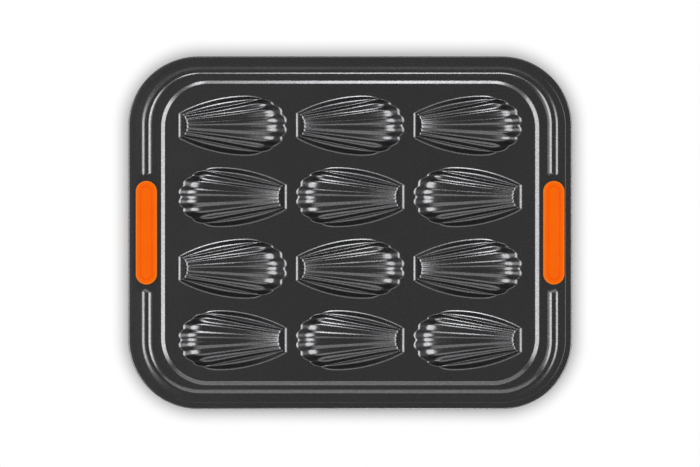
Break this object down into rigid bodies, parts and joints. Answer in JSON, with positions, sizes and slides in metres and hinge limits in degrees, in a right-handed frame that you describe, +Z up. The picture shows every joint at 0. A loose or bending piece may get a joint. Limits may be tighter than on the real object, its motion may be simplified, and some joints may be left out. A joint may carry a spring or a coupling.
{
  "type": "madeleine tray",
  "caption": "Dark non-stick steel baking tray with rows of fluted shell-shaped cups in a sunk deck, a beaded rim and soft orange grips let into its short ends.",
  "frame": {"origin": "under the middle of the tray, on the plane that the bottoms of the cups stand on", "axes": "+X along the long side towards the right grip, +Y along the short side towards the back, +Z up out of the cups"},
  "size_m": [0.37, 0.294, 0.0211],
  "materials": {
    "coated_steel": "semi-gloss charcoal non-stick coating on pressed steel",
    "silicone": "satin moulded silicone, orange"
  },
  "bodies": {
    "root": {"tray_sheet": "coated_steel", "grip_left": "silicone", "grip_right": "silicone"}
  },
  "joints": []
}
